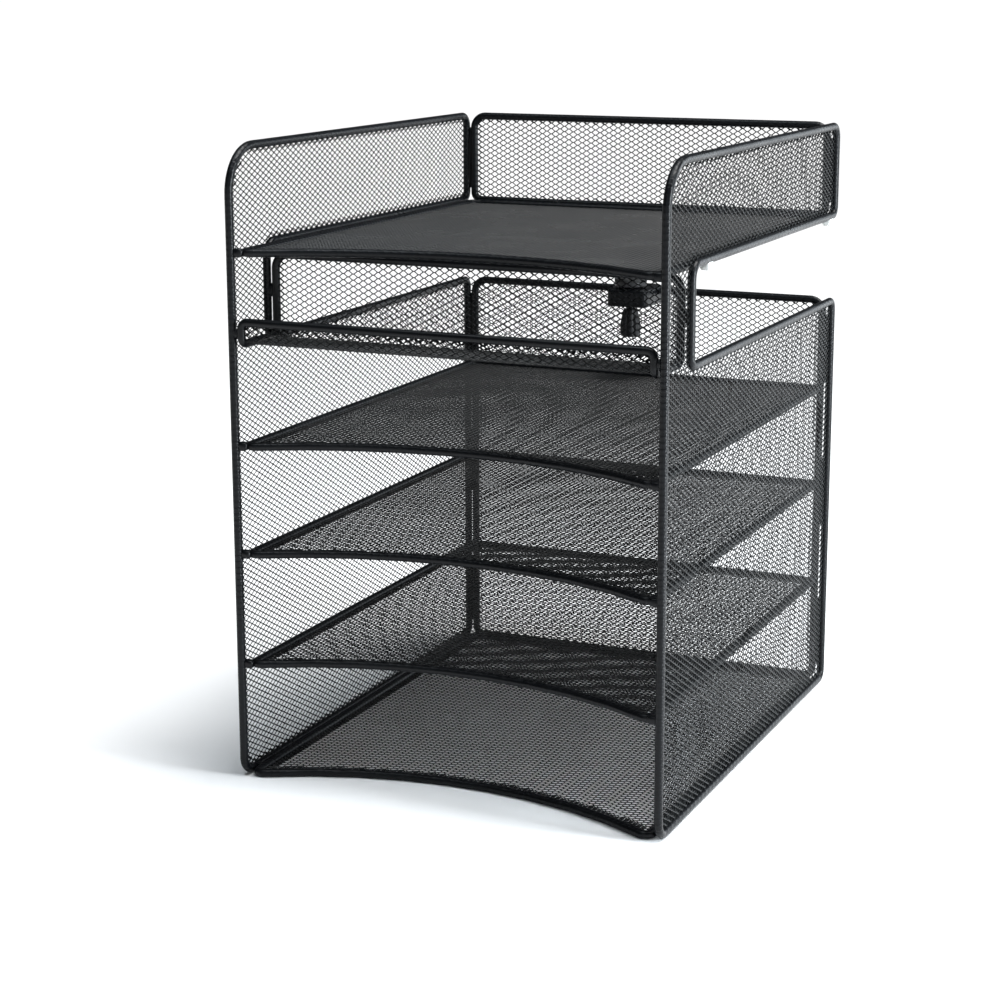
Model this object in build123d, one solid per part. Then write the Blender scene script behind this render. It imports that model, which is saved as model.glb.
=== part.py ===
"""Desk organizer of wire rims and expanded steel mesh, with a slot that slides over a desk top.

Origin: centre of the footprint, on the floor. +Z up, -Y the open front, +X the right side.
All sizes are in millimetres. Positions of rims are those of their wire's centre line.
"""

from build123d import *
import math
import os

# Overall outside size
overall_width = 260.35
overall_depth = 314.325
overall_height = 365.125

# Wire and mesh
wire_d = 4.8  # rim wire with the mesh edge wrapped round it
mesh_t = 0.8  # thickness of the expanded mesh
side_gap = 1.0  # between a side frame and the panels hung between the two sides
lay_gap = 0.1  # between rims that only lie against each other

# Heights, each from one rim's centre line to the next
bay_heights = (66.0, 65.0, 62.6)  # bottom floor to shelf 3, shelf 3 to 2, shelf 2 to 1
open_bay_height = 56.6  # shelf 1 to the rim of the cabinet
tray_drop = 1.8  # the tray floor hangs this much below its side rails
ledge_rise = 1.6  # the pen ledge stands this much above the rim of the cabinet
lip_height = 12.6  # pen ledge floor to the top of its front lip

# Slot for the desk top
slot_clear = 44.45  # clamp bracket to the soles of the feet
slot_setback = 44.6  # front face of the organizer to the front end of the slot

# Bends
front_top_r = 26.0  # the large bend at the top front of each side
front_foot_r = 9.0
back_top_r = 7.5
rail_end_r = 6.0
slot_top_r = 8.5
slot_bottom_r = 4.5
cabinet_end_r = 5.0
back_foot_r = 6.0
panel_top_r = 8.0
panel_foot_r = 5.0
floor_front_r = 4.0
floor_back_r = 8.0
lip_r = 4.0
ledge_r = 5.0
front_curve = 34.0  # how far the middle of each floor's front rim curves in

# Rubber feet under the rails of the tray
foot_h = 3.15
foot_length = 8.0
foot_width = 5.6
foot_round = 1.2
foot_saddle = 1.4  # how far a foot reaches up round its rail
foot_inset_front = 24.5  # slot front bar to the middle of the front foot
foot_inset_back = 12.1  # back bar to the middle of the back foot

# Desk clamp
bracket_width = 27.0
bracket_t = 2.0
bracket_h = 12.0
bracket_reach = 32.2  # back rim to the front face of the bracket
bracket_bend_r = 3.0
screw_inset = 23.4  # back rim to the screw
screw_d = 6.0
screw_play = 0.05  # radial clearance of the screw in its nut and of its tip in the pad
screw_hole_play = 0.4  # radial clearance of the screw in the bracket
nut_across_flats = 10.0
nut_h = 5.0
pad_d = 21.0
pad_t = 3.6
pad_face_t = 2.1
pad_lift = 0.3  # gap between the bracket and the pad as it is stored
tip_d = 4.0
tip_h = 1.8
tip_end_play = 0.15
knob_gap = 2.0  # gap between the bracket's lower edge and the knob as it is stored
knob_h = 18.0
knob_skirt_h = 8.0  # the straight lower part of the knob
knob_top_d = 9.2
knob_foot_d = 13.2
knob_cap_h = 1.6
knob_flutes = 8
knob_flute_d = 1.8

# Spot welds
weld_w = 3.2
weld_h = 7.0
weld_low_h = 4.4
tray_seam_h = 40.0  # along the back bars of the tray
cabinet_seam_h = 44.0  # along the back bars of the cabinet

wire_r = wire_d / 2
side_x = overall_width / 2 - wire_r
span_x = side_x - wire_d - side_gap
front_y = -overall_depth / 2 + wire_r
back_y = overall_depth / 2 - wire_r
slot_y = -overall_depth / 2 + slot_setback - wire_r
floor_back_y = back_y - wire_d - lay_gap

bottom_z = wire_r
shelf_3_z = bottom_z + bay_heights[0]
shelf_2_z = shelf_3_z + bay_heights[1]
shelf_1_z = shelf_2_z + bay_heights[2]
cabinet_z = shelf_1_z + open_bay_height
bracket_top_z = cabinet_z + wire_r + bracket_t
sole_z = bracket_top_z + slot_clear
rail_z = sole_z + foot_h + wire_r
tray_z = rail_z - tray_drop
top_z = overall_height - wire_r
ledge_z = cabinet_z + ledge_rise
lip_z = ledge_z + lip_height
slot_panel_top_z = tray_z - wire_d - lay_gap
screw_y = back_y - screw_inset


def bend_wire(path):
    """A round wire bent along a closed path."""
    return sweep(Plane(origin=path @ 0, z_dir=path % 0) * Circle(wire_r), path=path)


def largest(shape):
    """The largest solid of a cut shape, without the crumbs outside a rim."""
    return shape.solids().sort_by(SortBy.VOLUME)[-1]


def stretch_mesh(plane, path, frame):
    """A mesh panel that fills a flat closed path and stops at the rim wire."""
    sheet = extrude(make_face(plane.to_local_coords(path)), amount=mesh_t / 2, both=True)
    return largest(plane * sheet - frame)


def side_path(x):
    """The outline of a side: a tall C with the desk slot cut in from the back."""
    corners = (
        ((x, front_y, bottom_z), front_foot_r),
        ((x, front_y, top_z), front_top_r),
        ((x, back_y, top_z), back_top_r),
        ((x, back_y, rail_z), rail_end_r),
        ((x, slot_y, rail_z), slot_top_r),
        ((x, slot_y, cabinet_z), slot_bottom_r),
        ((x, back_y, cabinet_z), cabinet_end_r),
        ((x, back_y, bottom_z), back_foot_r),
    )
    return FilletPolyline(*[point for point, _ in corners], radius=[r for _, r in corners], close=True)


def back_path(low_z, high_z):
    """The outline of a back panel, between the back bars of the two sides."""
    corners = (
        ((-span_x, back_y, low_z), panel_foot_r),
        ((-span_x, back_y, high_z), panel_top_r),
        ((span_x, back_y, high_z), panel_top_r),
        ((span_x, back_y, low_z), panel_foot_r),
    )
    return FilletPolyline(*[point for point, _ in corners], radius=[r for _, r in corners], close=True)


def floor_path(z):
    """The outline of a floor, straight at the back and sides and curved in at the front."""
    left, right = (-span_x, front_y), (span_x, front_y)
    front = ThreePointArc(right, (0, front_y + front_curve), left)
    sides = Polyline(left, (-span_x, floor_back_y), (span_x, floor_back_y), right)
    outline = make_face([front, sides])
    outline = fillet(outline.vertices().group_by(Axis.Y)[0], floor_front_r)
    outline = fillet(outline.vertices().group_by(Axis.Y)[-1], floor_back_r)
    return Pos(0, 0, z) * outline.face().outer_wire()


def ledge_path():
    """The rim of the ledge sheet: up the slot's front end, along the ledge and over its lip."""
    corners = (
        ((-span_x, front_y, lip_z), lip_r),
        ((span_x, front_y, lip_z), lip_r),
        ((span_x, front_y, ledge_z), ledge_r),
        ((span_x, slot_y, ledge_z), ledge_r),
        ((span_x, slot_y, slot_panel_top_z), panel_top_r),
        ((-span_x, slot_y, slot_panel_top_z), panel_top_r),
        ((-span_x, slot_y, ledge_z), ledge_r),
        ((-span_x, front_y, ledge_z), ledge_r),
    )
    return FilletPolyline(*[point for point, _ in corners], radius=[r for _, r in corners], close=True)


def ledge_mesh(frame):
    """The bent sheet of the slot panel, pen ledge and lip, trimmed to its rim."""
    profile = FilletPolyline(
        (front_y, lip_z),
        (front_y, ledge_z),
        (slot_y, ledge_z),
        (slot_y, slot_panel_top_z),
        radius=ledge_r,
    )
    section = make_face(offset(profile, amount=mesh_t / 2, side=Side.BOTH))
    plane = Plane(origin=(0, 0, 0), x_dir=(0, 1, 0), z_dir=(1, 0, 0))
    return largest(extrude(plane * section, amount=span_x, both=True) - frame)


def weld(start, end, frames, height=weld_h):
    """A bead between two rims, from one centre line to the other and trimmed to both."""
    run = Vector(*end) - Vector(*start)
    across = Vector(0, 0, 1).cross(run)
    section = Plane(origin=start, x_dir=across, z_dir=run) * Ellipse(weld_w / 2, height / 2)
    return largest(extrude(section, amount=run.length) - frames)


def frames_and_panels():
    """Every rim and every mesh panel, by name."""
    nodes = {}
    for side, x in (("left", -side_x), ("right", side_x)):
        path = side_path(x)
        nodes[f"side_frame_{side}"] = bend_wire(path)
        plane = Plane(origin=(x, 0, 0), x_dir=(0, 1, 0), z_dir=(1, 0, 0))
        nodes[f"side_mesh_{side}"] = stretch_mesh(plane, path, nodes[f"side_frame_{side}"])
    for name, low_z, high_z in (("tray_back", rail_z, top_z), ("cabinet_back", bottom_z, cabinet_z)):
        path = back_path(low_z, high_z)
        nodes[f"{name}_frame"] = bend_wire(path)
        plane = Plane(origin=(0, back_y, 0), x_dir=(1, 0, 0), z_dir=(0, -1, 0))
        nodes[f"{name}_mesh"] = stretch_mesh(plane, path, nodes[f"{name}_frame"])
    for name, z in floors().items():
        path = floor_path(z)
        nodes[f"{name}_frame"] = bend_wire(path)
        plane = Plane(origin=(0, 0, z))
        nodes[f"{name}_mesh"] = stretch_mesh(plane, path, nodes[f"{name}_frame"])
    nodes["ledge_frame"] = bend_wire(ledge_path())
    nodes["ledge_mesh"] = ledge_mesh(nodes["ledge_frame"])
    return nodes


def floors():
    """Each floor's name and height."""
    return {
        "tray_floor": tray_z,
        "shelf_1": shelf_1_z,
        "shelf_2": shelf_2_z,
        "shelf_3": shelf_3_z,
        "bottom_floor": bottom_z,
    }


def floor_front_corner():
    """Where a floor's rim comes nearest to the front bar, for a floor on the right."""
    sagitta_r = (span_x**2 + front_curve**2) / (2 * front_curve)
    slope = math.asin(span_x / sagitta_r)
    half_corner = (math.pi / 2 - slope) / 2
    inset = floor_front_r / math.sin(half_corner) - floor_front_r
    return span_x - inset * math.sin(half_corner), front_y + inset * math.cos(half_corner)


def welds(nodes):
    """The beads that join the sides, backs, floors and ledge."""
    beads = []
    corner_x, corner_y = floor_front_corner()
    back_inset = floor_back_r * (1 - math.sqrt(0.5))
    rim_x = span_x / 2
    for sign, side in ((-1, "left"), (1, "right")):
        bar = nodes[f"side_frame_{side}"]
        outer, inner = sign * side_x, sign * span_x

        # floors to the front bars, and the bottom floor to the foot of the side
        for name, z in list(floors().items())[:-1]:
            start, end = (outer, front_y, z), (sign * corner_x, corner_y, z)
            beads.append(weld(start, end, bar + nodes[f"{name}_frame"], weld_low_h))
        foot_y = front_y + front_foot_r + weld_w
        ends = (outer, foot_y, bottom_z), (inner, foot_y, bottom_z)
        beads.append(weld(*ends, bar + nodes["bottom_floor_frame"], weld_low_h))

        # shelves to the back panel's bars
        for name in ("shelf_1", "shelf_2", "shelf_3"):
            z = floors()[name]
            start = (inner, back_y, z)
            end = (inner - sign * back_inset, floor_back_y - back_inset, z)
            frames = nodes["cabinet_back_frame"] + nodes[f"{name}_frame"]
            beads.append(weld(start, end, frames, weld_low_h))

        # the tray floor and the bottom floor to the foot rims of their back panels
        for panel, floor, high, low in (
            ("tray_back", "tray_floor", rail_z, tray_z),
            ("cabinet_back", "bottom_floor", bottom_z, bottom_z),
        ):
            frames = nodes[f"{panel}_frame"] + nodes[f"{floor}_frame"]
            ends = (sign * rim_x, back_y, high), (sign * rim_x, floor_back_y, low)
            beads.append(weld(*ends, frames, weld_low_h))

        # back panels to the back bars
        tray_zs = [(rail_z + top_z) / 2]
        cabinet_zs = [bottom_z + (cabinet_z - bottom_z) * share for share in (1 / 8, 1 / 2, 7 / 8)]
        for panel, levels, height in (
            ("tray_back", tray_zs, tray_seam_h),
            ("cabinet_back", cabinet_zs, cabinet_seam_h),
        ):
            for z in levels:
                ends = (outer, back_y, z), (inner, back_y, z)
                beads.append(weld(*ends, bar + nodes[f"{panel}_frame"], height))

        # the ledge sheet to the front bars and to the slot's front bars
        lip_mid_z = (ledge_z + lip_z) / 2
        panel_mid_z = (cabinet_z + rail_z) / 2
        for y, z, height in ((front_y, lip_mid_z, weld_low_h), (slot_y, panel_mid_z, weld_h)):
            beads.append(weld((outer, y, z), (inner, y, z), bar + nodes["ledge_frame"], height))
    return beads


def feet(nodes):
    """Four rubber blocks saddled on the underside of the tray's side rails."""
    blocks = []
    height = foot_h + foot_saddle
    foot_x = overall_width / 2 - foot_width / 2
    for sign, side in ((-1, "left"), (1, "right")):
        for y in (slot_y + foot_inset_front, back_y - foot_inset_back):
            block = Pos(sign * foot_x, y, sole_z + height / 2) * Box(foot_width, foot_length, height)
            rounded = block.edges().filter_by(Axis.Z) + block.faces().sort_by(Axis.Z)[0].edges()
            block = fillet(rounded, foot_round)
            blocks.append(largest(block - nodes[f"side_frame_{side}"] - nodes[f"side_mesh_{side}"]))
    return blocks


def clamp_bracket(rim):
    """A folded steel pan, open at the back and below, hooked over the cabinet's back rim."""
    reach = bracket_reach - mesh_t / 2 - lay_gap
    middle = Pos(0, back_y - bracket_reach + reach / 2, bracket_top_z - bracket_h / 2)
    pan = middle * Box(bracket_width, reach, bracket_h)
    pan = fillet(pan.edges().filter_by(Axis.Z).group_by(Axis.Y)[0], bracket_bend_r)
    inner_r = bracket_bend_r - bracket_t
    inner = Pos(0, bracket_t, -bracket_t) * middle * Box(bracket_width - 2 * bracket_t, reach, bracket_h)
    inner = fillet(inner.edges().filter_by(Axis.Z).group_by(Axis.Y)[0], inner_r)
    hole = Pos(0, screw_y, bracket_top_z) * Cylinder(screw_d / 2 + screw_hole_play, 3 * bracket_t)
    return largest(pan - inner - hole - rim)


def clamp_nut():
    """The weld nut under the bracket."""
    z = bracket_top_z - bracket_t - nut_h
    body = extrude(RegularPolygon(nut_across_flats / 2, 6, major_radius=False), amount=nut_h)
    return Pos(0, screw_y, z) * (body - Cylinder(screw_d / 2 + screw_play, 3 * nut_h))


def clamp_pad():
    """The swivel pad: a steel disc with a socket for the screw's tip, and its rubber face."""
    low_z = bracket_top_z + pad_lift
    align = (Align.CENTER, Align.CENTER, Align.MIN)
    disc = Cylinder(pad_d / 2, pad_t, align=align)
    disc = chamfer(disc.edges().group_by(Axis.Z)[0], pad_t / 4)
    socket_h = tip_h + tip_end_play
    disc -= Cylinder(tip_d / 2 + screw_play, socket_h, align=align)
    face = Pos(0, 0, pad_t) * Cylinder(pad_d / 2, pad_face_t, align=align)
    face = fillet(face.edges().group_by(Axis.Z)[-1], pad_face_t / 2)
    place = Pos(0, screw_y, low_z)
    return place * disc, place * face


def clamp_screw_and_knob():
    """The thumb screw, with a turned-down tip in the pad, and the fluted knob moulded on it."""
    align = (Align.CENTER, Align.CENTER, Align.MIN)
    knob_top_z = bracket_top_z - bracket_h - knob_gap
    knob_low_z = knob_top_z - knob_h
    pad_low_z = bracket_top_z + pad_lift
    foot_z = knob_low_z + knob_cap_h
    shank = Pos(0, 0, foot_z) * Cylinder(screw_d / 2, pad_low_z - tip_end_play - foot_z, align=align)
    tip = Pos(0, 0, pad_low_z - tip_end_play) * Cylinder(tip_d / 2, tip_h, align=align)
    screw = shank + tip
    profile = Polyline(
        (0, knob_low_z),
        (knob_foot_d / 2, knob_low_z),
        (knob_foot_d / 2, knob_low_z + knob_skirt_h),
        (knob_top_d / 2, knob_top_z),
        (0, knob_top_z),
        close=True,
    )
    knob = revolve(Plane.XZ * make_face(profile), Axis.Z)
    knob = fillet(knob.edges().filter_by(GeomType.CIRCLE), knob_cap_h / 2)
    flute = Pos(knob_foot_d / 2, 0, knob_low_z + knob_h / 2) * Cylinder(knob_flute_d / 2, 2 * knob_h)
    knob -= [Rot(0, 0, 360 / knob_flutes * i) * flute for i in range(knob_flutes)]
    place = Pos(0, screw_y, 0)
    return place * screw, place * (knob - screw)


def build():
    """Every node of the organizer, by name."""
    nodes = frames_and_panels()
    nodes["weld_beads"] = welds(nodes)
    nodes["tray_feet"] = feet(nodes)
    nodes["clamp_bracket"] = clamp_bracket(nodes["cabinet_back_frame"])
    nodes["clamp_nut"] = clamp_nut()
    nodes["clamp_pad"], nodes["clamp_pad_face"] = clamp_pad()
    nodes["clamp_screw"], nodes["clamp_knob"] = clamp_screw_and_knob()
    return nodes


os.makedirs("parts", exist_ok=True)
for name, shape in build().items():
    solids = shape if isinstance(shape, list) else shape.solids()
    export_step(Compound(children=list(solids), label=name), f"parts/{name}.step")
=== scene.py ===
"""A desk organizer of wire rims and expanded steel mesh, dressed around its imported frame.

Every rim, mesh panel, weld bead and clamp piece is modelled in metres at the place that the frame
gives. The organizer's open front faces -Y, its right side +X and its top +Z.
"""

import logging
import math
from collections.abc import Callable, Sequence
from dataclasses import dataclass, field
from enum import Enum

import bmesh
import bpy
import numpy as np
from mathutils import Matrix, Vector, noise


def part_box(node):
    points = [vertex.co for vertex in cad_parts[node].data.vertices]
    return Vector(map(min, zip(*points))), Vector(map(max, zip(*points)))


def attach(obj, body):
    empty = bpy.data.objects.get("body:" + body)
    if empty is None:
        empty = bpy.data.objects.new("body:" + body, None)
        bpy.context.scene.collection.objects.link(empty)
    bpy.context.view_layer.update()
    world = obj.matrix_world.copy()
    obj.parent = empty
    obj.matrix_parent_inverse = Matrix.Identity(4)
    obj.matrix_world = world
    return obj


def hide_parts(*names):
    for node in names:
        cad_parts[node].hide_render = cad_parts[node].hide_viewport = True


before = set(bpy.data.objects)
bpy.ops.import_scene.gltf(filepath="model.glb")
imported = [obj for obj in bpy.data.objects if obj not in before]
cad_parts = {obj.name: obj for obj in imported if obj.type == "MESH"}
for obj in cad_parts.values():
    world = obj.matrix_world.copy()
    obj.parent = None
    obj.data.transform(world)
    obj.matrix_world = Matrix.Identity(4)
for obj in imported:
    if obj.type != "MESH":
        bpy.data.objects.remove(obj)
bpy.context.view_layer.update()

MM = 0.001
X_AXIS, Z_AXIS = Vector((1, 0, 0)), Vector((0, 0, 1))
DUST_COLOUR = (0.16, 0.16, 0.165, 1)
MIX_FACTOR, MIX_LOW, MIX_HIGH, MIX_RESULT = 0, 6, 7, 2

log = logging.getLogger("desk_organizer")


class Slot(Enum):
    """The record's material slots."""

    RIM = "rim_coat"
    MESH = "mesh_coat"
    OXIDE = "black_oxide"
    KNOB = "knob_plastic"
    RUBBER = "rubber"
    SILICONE = "clear_silicone"


class Body(Enum):
    """The rigid bodies that pieces ride on."""

    ORGANIZER = "organizer"
    PAD = "swivel_pad"
    SCREW = "thumb_screw"


# ---------------------------------------------------------------------------------------------
# Shader node groups and finishes
# ---------------------------------------------------------------------------------------------


class NodeSheet:
    """A small helper that adds and links nodes in one node tree."""

    def __init__(self, tree: bpy.types.NodeTree) -> None:
        """Starts an empty sheet.

        Args:
            tree: The node tree to fill. Nodes that it already has are removed.
        """
        self.tree = tree
        tree.nodes.clear()

    def add(self, kind: str, **values: object) -> bpy.types.Node:
        """Adds a node and sets its properties or input values.

        Args:
            kind: The node's type name.
            **values: Properties by name, or inputs by name with underscores for spaces.

        Returns:
            The new node.
        """
        node = self.tree.nodes.new(kind)
        for name, value in values.items():
            label = name.replace("_", " ")
            if hasattr(node, name):
                setattr(node, name, value)
            elif isinstance(value, bpy.types.NodeSocket):
                self.tree.links.new(value, node.inputs[label])
            else:
                node.inputs[label].default_value = value
        return node

    def link(self, source: bpy.types.NodeSocket, target: bpy.types.NodeSocket) -> None:
        """Joins an output to an input."""
        self.tree.links.new(source, target)

    def math(self, operation: str, first: object, second: object = 0.0) -> bpy.types.NodeSocket:
        """Adds a Math node.

        Args:
            operation: The node's operation.
            first: A socket or a number for the first input.
            second: A socket or a number for the second input.

        Returns:
            The result's socket.
        """
        node = self.tree.nodes.new("ShaderNodeMath")
        node.operation = operation
        for socket, value in zip(node.inputs, (first, second)):
            if isinstance(value, bpy.types.NodeSocket):
                self.tree.links.new(value, socket)
            else:
                socket.default_value = value
        return node.outputs[0]


class Effects:
    """The shader node groups that more than one finish uses, each built once."""

    _made: dict[str, bpy.types.NodeTree] = {}

    @classmethod
    def group(cls, name: str) -> bpy.types.NodeTree:
        """Returns a shared group, building it the first time.

        Args:
            name: The name of one of this class's makers.

        Returns:
            The group's node tree.
        """
        if name not in cls._made:
            cls._made[name] = getattr(cls, f"_{name}")()
        return cls._made[name]

    @staticmethod
    def _interface(
        name: str, inputs: dict[str, tuple[str, object]], outputs: dict[str, str]
    ) -> tuple[NodeSheet, bpy.types.Node, bpy.types.Node]:
        """Makes a group with named sockets.

        Args:
            name: The group's name.
            inputs: Input names, each with its socket type and default.
            outputs: Output names, each with its socket type.

        Returns:
            The sheet, its group input and its group output.
        """
        tree = bpy.data.node_groups.new(name, "ShaderNodeTree")
        for label, (kind, default) in inputs.items():
            socket = tree.interface.new_socket(label, in_out="INPUT", socket_type=kind)
            if default is not None:
                socket.default_value = default
        for label, kind in outputs.items():
            tree.interface.new_socket(label, in_out="OUTPUT", socket_type=kind)
        sheet = NodeSheet(tree)
        return sheet, sheet.add("NodeGroupInput"), sheet.add("NodeGroupOutput")

    @classmethod
    def _powder(cls) -> bpy.types.NodeTree:
        """The orange-peel skin of a baked powder coat: a height and a slow tone mask."""
        inputs = {
            "Vector": ("NodeSocketVector", None),
            "Peel Scale": ("NodeSocketFloat", 900.0),
            "Tone Scale": ("NodeSocketFloat", 28.0),
        }
        outputs = {"Height": "NodeSocketFloat", "Tone": "NodeSocketFloat"}
        sheet, start, end = cls._interface("powder", inputs, outputs)
        place = start.outputs["Vector"]
        peel = sheet.add("ShaderNodeTexNoise", Vector=place, Detail=2.0, Roughness=0.55)
        sheet.link(start.outputs["Peel Scale"], peel.inputs["Scale"])
        grit_scale = sheet.math("MULTIPLY", start.outputs["Peel Scale"], 3.1)
        grit = sheet.add("ShaderNodeTexNoise", Vector=place, Detail=1.0, Roughness=0.5)
        sheet.link(grit_scale, grit.inputs["Scale"])
        fine = sheet.math("MULTIPLY", grit.outputs["Fac"], 0.35)
        sheet.link(sheet.math("ADD", peel.outputs["Fac"], fine), end.inputs["Height"])
        tone = sheet.add("ShaderNodeTexNoise", Vector=place, Detail=3.0, Roughness=0.6)
        sheet.link(start.outputs["Tone Scale"], tone.inputs["Scale"])
        sheet.link(tone.outputs["Fac"], end.inputs["Tone"])
        return sheet.tree

    @classmethod
    def _dust(cls) -> bpy.types.NodeTree:
        """Fine dust that settles on faces that look up: a mask."""
        inputs = {"Vector": ("NodeSocketVector", None), "Amount": ("NodeSocketFloat", 0.5)}
        sheet, start, end = cls._interface("dust", inputs, {"Mask": "NodeSocketFloat"})
        normal = sheet.add("ShaderNodeNewGeometry").outputs["Normal"]
        up = sheet.add("ShaderNodeSeparateXYZ", Vector=normal).outputs["Z"]
        level = sheet.add("ShaderNodeMapRange", From_Min=0.35, From_Max=1.0)
        sheet.link(up, level.inputs["Value"])
        cloud = sheet.add("ShaderNodeTexNoise", Scale=190.0, Detail=4.0, Roughness=0.7)
        sheet.link(start.outputs["Vector"], cloud.inputs["Vector"])
        speck = sheet.add("ShaderNodeMapRange", From_Min=0.42, From_Max=0.78)
        sheet.link(cloud.outputs["Fac"], speck.inputs["Value"])
        amount = sheet.math("MULTIPLY", level.outputs["Result"], speck.outputs["Result"])
        sheet.link(sheet.math("MULTIPLY", amount, start.outputs["Amount"]), end.inputs["Mask"])
        return sheet.tree

    @classmethod
    def _lattice(cls) -> bpy.types.NodeTree:
        """The print of wrapped mesh strands under the coat of a rim: a height."""
        inputs = {
            "Vector": ("NodeSocketVector", None),
            "Long": ("NodeSocketFloat", 6.3 * MM),
            "Short": ("NodeSocketFloat", 3.48 * MM),
        }
        sheet, start, end = cls._interface("lattice", inputs, {"Height": "NodeSocketFloat"})
        split = sheet.add("ShaderNodeSeparateXYZ")
        sheet.link(start.outputs["Vector"], split.inputs["Vector"])
        across = sheet.math("DIVIDE", split.outputs["X"], start.outputs["Long"])
        along = sheet.math("DIVIDE", split.outputs["Y"], start.outputs["Short"])
        waves = []
        for combine in ("ADD", "SUBTRACT"):
            phase = sheet.math("MULTIPLY", sheet.math(combine, across, along), 2 * math.pi)
            ridge = sheet.math("ADD", sheet.math("MULTIPLY", sheet.math("COSINE", phase), 0.5), 0.5)
            waves.append(sheet.math("POWER", ridge, 6.0))
        sheet.link(sheet.math("MAXIMUM", waves[0], waves[1]), end.inputs["Height"])
        return sheet.tree


@dataclass(frozen=True)
class Finish:
    """A surface finish that becomes one material.

    Attributes:
        name: The material's name.
        slot: The record's slot that the finish belongs to.
        colour: The coat's colour.
        worn: The lighter colour of its tone variation.
        roughness: The roughness of the glossier and the duller patches.
        specular: The Principled specular level.
        peel_scale: How fine the coat's skin is, in bumps to the metre.
        peel_depth: How deep the skin's bump is, in metres.
        dust: How much dust lies on faces that look up.
        print_turn: The rotation that lays the lattice print in the panel's plane, or None.
        print_depth: How deep the lattice print is, in metres.
        dust_dulls: How much rougher full dust makes the surface.
    """

    name: str
    slot: Slot
    colour: tuple[float, float, float]
    worn: tuple[float, float, float]
    roughness: tuple[float, float]
    specular: float = 0.5
    peel_scale: float = 900.0
    peel_depth: float = 0.05 * MM
    dust: float = 0.25
    print_turn: tuple[float, float, float] | None = None
    print_depth: float = 0.1 * MM
    dust_dulls: float = 0.3

    def material(self) -> bpy.types.Material:
        """Builds the finish's material.

        Returns:
            The new material.
        """
        material = bpy.data.materials.new(self.name)
        material.use_nodes = True
        sheet = NodeSheet(material.node_tree)
        place = sheet.add("ShaderNodeTexCoord").outputs["Object"]
        shader = sheet.add("ShaderNodeBsdfPrincipled")
        shader.inputs["Specular IOR Level"].default_value = self.specular
        sheet.add("ShaderNodeOutputMaterial", Surface=shader.outputs["BSDF"])

        powder = sheet.add("ShaderNodeGroup", node_tree=Effects.group("powder"))
        powder.inputs["Peel Scale"].default_value = self.peel_scale
        sheet.link(place, powder.inputs["Vector"])
        dust = sheet.add("ShaderNodeGroup", node_tree=Effects.group("dust"))
        dust.inputs["Amount"].default_value = self.dust
        sheet.link(place, dust.inputs["Vector"])

        tone = self.mix(sheet, powder.outputs["Tone"], (*self.colour, 1), (*self.worn, 1))
        dusty = self.mix(sheet, dust.outputs["Mask"], tone, DUST_COLOUR)
        sheet.link(dusty, shader.inputs["Base Color"])
        glossy, dull = self.roughness
        gloss = sheet.add(
            "ShaderNodeMapRange", From_Min=0.35, From_Max=0.65, To_Min=glossy, To_Max=dull
        )
        sheet.link(powder.outputs["Tone"], gloss.inputs["Value"])
        dulled = sheet.math("MULTIPLY", dust.outputs["Mask"], self.dust_dulls)
        sheet.link(sheet.math("ADD", gloss.outputs["Result"], dulled), shader.inputs["Roughness"])

        bump = sheet.add("ShaderNodeBump", Strength=1.0, Distance=self.peel_depth)
        sheet.link(powder.outputs["Height"], bump.inputs["Height"])
        if self.print_turn is not None:
            turn = sheet.add("ShaderNodeMapping", vector_type="TEXTURE")
            turn.inputs["Rotation"].default_value = self.print_turn
            sheet.link(place, turn.inputs["Vector"])
            lattice = sheet.add("ShaderNodeGroup", node_tree=Effects.group("lattice"))
            sheet.link(turn.outputs["Vector"], lattice.inputs["Vector"])
            wrap = sheet.add("ShaderNodeBump", Strength=1.0, Distance=self.print_depth)
            sheet.link(lattice.outputs["Height"], wrap.inputs["Height"])
            sheet.link(wrap.outputs["Normal"], bump.inputs["Normal"])
        sheet.link(bump.outputs["Normal"], shader.inputs["Normal"])
        return material

    @staticmethod
    def mix(sheet: NodeSheet, mask: object, low: object, high: object) -> bpy.types.NodeSocket:
        """Adds a colour mix.

        Args:
            sheet: The sheet to add it to.
            mask: The socket that sets how much of the second colour shows.
            low: A socket or a colour, seen where the mask is 0.
            high: A socket or a colour, seen where the mask is 1.

        Returns:
            The mixed colour's socket.
        """
        node = sheet.tree.nodes.new("ShaderNodeMix")
        node.data_type = "RGBA"
        for index, value in ((MIX_FACTOR, mask), (MIX_LOW, low), (MIX_HIGH, high)):
            if isinstance(value, bpy.types.NodeSocket):
                sheet.link(value, node.inputs[index])
            else:
                node.inputs[index].default_value = value
        return node.outputs[MIX_RESULT]


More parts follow.
